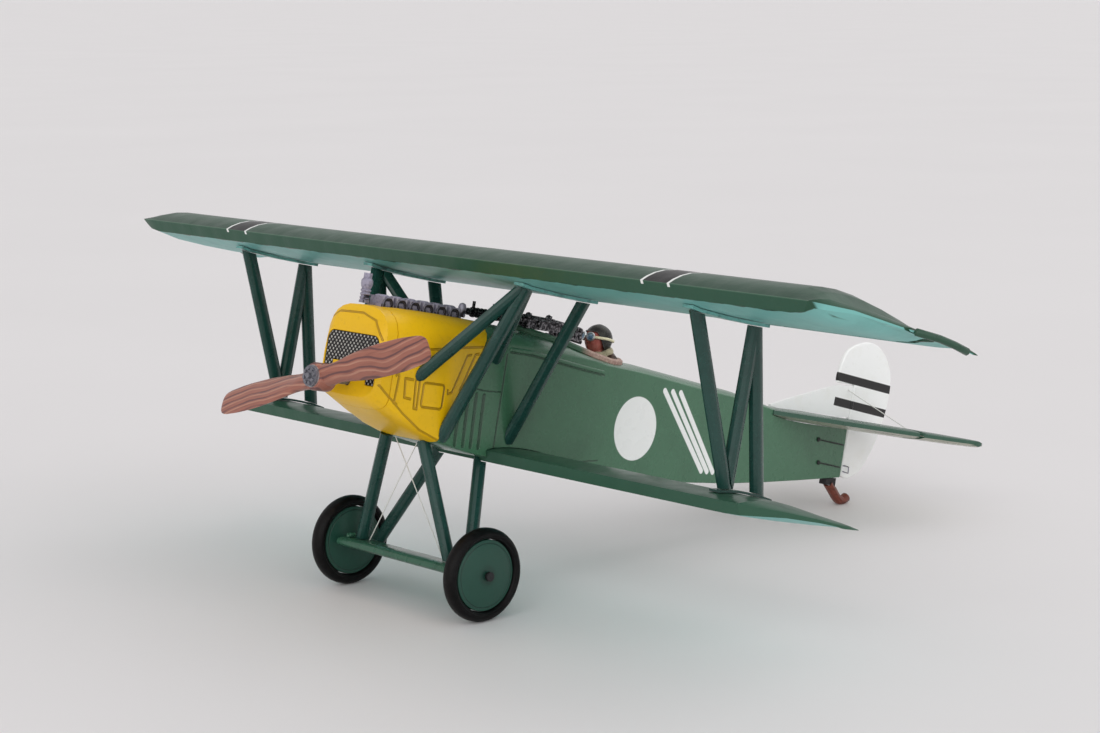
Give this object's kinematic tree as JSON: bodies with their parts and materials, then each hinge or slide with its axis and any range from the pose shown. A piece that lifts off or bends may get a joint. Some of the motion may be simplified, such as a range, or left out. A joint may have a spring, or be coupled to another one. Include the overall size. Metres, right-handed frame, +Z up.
{
  "type": "biplane scale model",
  "caption": "Display model of a tail-dragger fighter biplane with strutted wings, open cockpit with pilot, spinning propeller and wheels, and hinged control surfaces.",
  "frame": {"origin": "on the ground, under the middle of the model's overall box", "axes": "+X to port along the span, +Y aft from the propeller towards the tail, +Z up; the model sits nose-up 12.5 degrees on its wheels and tail skid"},
  "size_m": [0.445, 0.3548, 0.1463],
  "materials": {
    "wing_green": "satin paint over carved wood; pale blue-green undersides",
    "body_green": "satin paint over carved wood",
    "cowl_yellow": "satin yellow paint",
    "radiator_mesh": "dark woven mesh",
    "strut_green": "satin dark blue-green paint",
    "black_metal": "black, semi-gloss",
    "disc_green": "satin paint",
    "tyre_black": "matt",
    "thread": "taut thread",
    "engine_grey": "metallic grey paint",
    "gun_metal": "dark gunmetal paint",
    "rim_padding": "soft, worn",
    "pilot_coat": "painted cloth look",
    "pilot_skin": "matt paint",
    "pilot_leather": "semi-gloss paint",
    "goggle_lens": "gloss",
    "tail_white": "satin white paint",
    "skid_wood": "varnished",
    "prop_wood": "stained, with painted grain lines",
    "hub_steel": "polished"
  },
  "bodies": {
    "airframe": {"upper_wing": "wing_green", "lower_wing": "wing_green", "fuselage": "body_green", "tailplane": "body_green", "engine_cowl": "cowl_yellow", "radiator_shell": "cowl_yellow", "radiator_core": "radiator_mesh", "gear_leg_front_port": "strut_green", "gear_leg_front_starboard": "strut_green", "gear_leg_rear_port": "strut_green", "gear_leg_rear_starboard": "strut_green", "axle_fairing": "strut_green", "interplane_rail_port": "strut_green", "interplane_rail_starboard": "strut_green", "interplane_front_port": "strut_green", "interplane_front_starboard": "strut_green", "interplane_rear_port": "strut_green", "interplane_rear_starboard": "strut_green", "interplane_diagonal_port": "strut_green", "interplane_diagonal_starboard": "strut_green", "cabane_rail_port": "strut_green", "cabane_rail_starboard": "strut_green", "cabane_low_port": "strut_green", "cabane_low_starboard": "strut_green", "cabane_cowl_port": "strut_green", "cabane_cowl_starboard": "strut_green", "cabane_rear_port": "strut_green", "cabane_rear_starboard": "strut_green", "cabane_mid_port": "strut_green", "cabane_mid_starboard": "strut_green", "strut_foot_plate_port": "strut_green", "strut_foot_plate_starboard": "strut_green", "axle": "black_metal", "skid_bracket": "black_metal", "gear_brace_threads": "thread", "tail_brace_thread": "thread", "engine_block": "engine_grey", "engine_stack": "engine_grey", "engine_end_fitting": "engine_grey", "gun_port": "gun_metal", "gun_starboard": "gun_metal", "cockpit_coaming": "rim_padding", "pilot_bust": "pilot_coat", "pilot_head": "pilot_skin", "pilot_helmet": "pilot_leather", "pilot_goggles": "goggle_lens", "fin": "tail_white", "tail_skid": "skid_wood"},
    "propeller": {"propeller": "prop_wood", "prop_hub_plate": "hub_steel", "prop_shaft": "hub_steel"},
    "wheel_port": {"wheel_disc_port": "disc_green", "tyre_port": "tyre_black"},
    "wheel_starboard": {"wheel_disc_starboard": "disc_green", "tyre_starboard": "tyre_black"},
    "aileron_port": {"aileron_port": "wing_green"},
    "aileron_starboard": {"aileron_starboard": "wing_green"},
    "elevator": {"elevator": "body_green"},
    "rudder": {"rudder": "tail_white"}
  },
  "joints": [
    {"name": "propeller_spin", "type": "hinge", "parent": "airframe", "child": "propeller", "pos_m": [0, -0.17031, 0.09901], "axis": [0, 0.9763, -0.2164], "continuous": true},
    {"name": "wheel_port_spin", "type": "hinge", "parent": "airframe", "child": "wheel_port", "pos_m": [0.0429, -0.12495, 0.019], "axis": [1, 0, 0], "continuous": true},
    {"name": "wheel_starboard_spin", "type": "hinge", "parent": "airframe", "child": "wheel_starboard", "pos_m": [-0.0429, -0.12495, 0.019], "axis": [1, 0, 0], "continuous": true},
    {"name": "aileron_port_hinge", "type": "hinge", "parent": "airframe", "child": "aileron_port", "pos_m": [0.17, -0.05393, 0.12453], "axis": [1, 0, 0], "range_deg": [-18, 18]},
    {"name": "aileron_starboard_hinge", "type": "hinge", "parent": "airframe", "child": "aileron_starboard", "pos_m": [-0.17, -0.05393, 0.12453], "axis": [1, 0, 0], "range_deg": [-18, 18]},
    {"name": "elevator_hinge", "type": "hinge", "parent": "airframe", "child": "elevator", "pos_m": [0, 0.14286, 0.04055], "axis": [1, 0, 0], "range_deg": [-20, 20]},
    {"name": "rudder_hinge", "type": "hinge", "parent": "airframe", "child": "rudder", "pos_m": [0, 0.1459, 0.03578], "axis": [0, 0.2164, 0.9763], "range_deg": [-20, 20]}
  ],
  "couplings": [
    {"joint": "aileron_starboard_hinge", "follows": "aileron_port_hinge", "ratio": -1}
  ]
}
